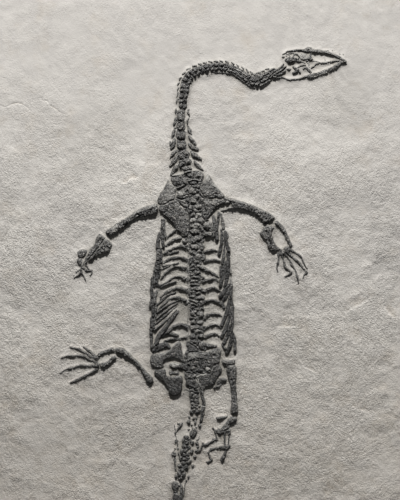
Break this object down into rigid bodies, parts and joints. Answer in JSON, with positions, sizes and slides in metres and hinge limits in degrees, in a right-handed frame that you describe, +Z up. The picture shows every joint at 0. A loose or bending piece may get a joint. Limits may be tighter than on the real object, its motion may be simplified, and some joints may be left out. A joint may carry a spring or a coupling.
{
  "type": "fossil marine reptile",
  "caption": "Flat slab of pale fine-grained rock that carries the dark articulated skeleton of a small long-necked marine reptile in low relief.",
  "frame": {"origin": "middle of the slab's sawn underside", "axes": "+Z up out of the face that carries the bones, +Y from the tail towards the head, +X to the right as the slab is looked at with the head at the top"},
  "size_m": [0.216, 0.366, 0.0181],
  "materials": {
    "matrix": "fine-grained pale warm-grey rock, matt",
    "fossil_bone": "charcoal fossil bone, satin where it is worn"
  },
  "bodies": {
    "root": {"matrix_slab": "matrix", "lower_jaw": "fossil_bone", "skull": "fossil_bone", "clavicle_arch": "fossil_bone", "neck_vertebrae": "fossil_bone", "scapula_left": "fossil_bone", "scapula_right": "fossil_bone", "coracoid_left": "fossil_bone", "coracoid_right": "fossil_bone", "humerus_left": "fossil_bone", "humerus_right": "fossil_bone", "ulna_left": "fossil_bone", "radius_left": "fossil_bone", "hand_left": "fossil_bone", "ulna_right": "fossil_bone", "radius_right": "fossil_bone", "hand_right": "fossil_bone", "femur_left": "fossil_bone", "femur_right": "fossil_bone", "pubis_left": "fossil_bone", "pubis_right": "fossil_bone", "ischium_left": "fossil_bone", "ischium_right": "fossil_bone", "ilium_right": "fossil_bone", "tibia_left": "fossil_bone", "fibula_left": "fossil_bone", "foot_left": "fossil_bone", "tibia_right": "fossil_bone", "fibula_right": "fossil_bone", "foot_right": "fossil_bone", "trunk_vertebrae": "fossil_bone", "sacral_vertebrae": "fossil_bone", "tail_front": "fossil_bone", "tail_rear": "fossil_bone", "belly_ribs_left": "fossil_bone", "belly_ribs_right": "fossil_bone", "rib_left_01": "fossil_bone", "rib_left_02": "fossil_bone", "rib_left_03": "fossil_bone", "rib_left_04": "fossil_bone", "rib_left_05": "fossil_bone", "rib_left_06": "fossil_bone", "rib_left_07": "fossil_bone", "rib_left_08": "fossil_bone", "rib_left_09": "fossil_bone", "rib_left_10": "fossil_bone", "rib_left_11": "fossil_bone", "rib_left_12": "fossil_bone", "rib_right_01": "fossil_bone", "rib_right_02": "fossil_bone", "rib_right_03": "fossil_bone", "rib_right_04": "fossil_bone", "rib_right_05": "fossil_bone", "rib_right_06": "fossil_bone", "rib_right_07": "fossil_bone", "rib_right_08": "fossil_bone", "rib_right_09": "fossil_bone", "rib_right_10": "fossil_bone", "rib_right_11": "fossil_bone"}
  },
  "joints": []
}
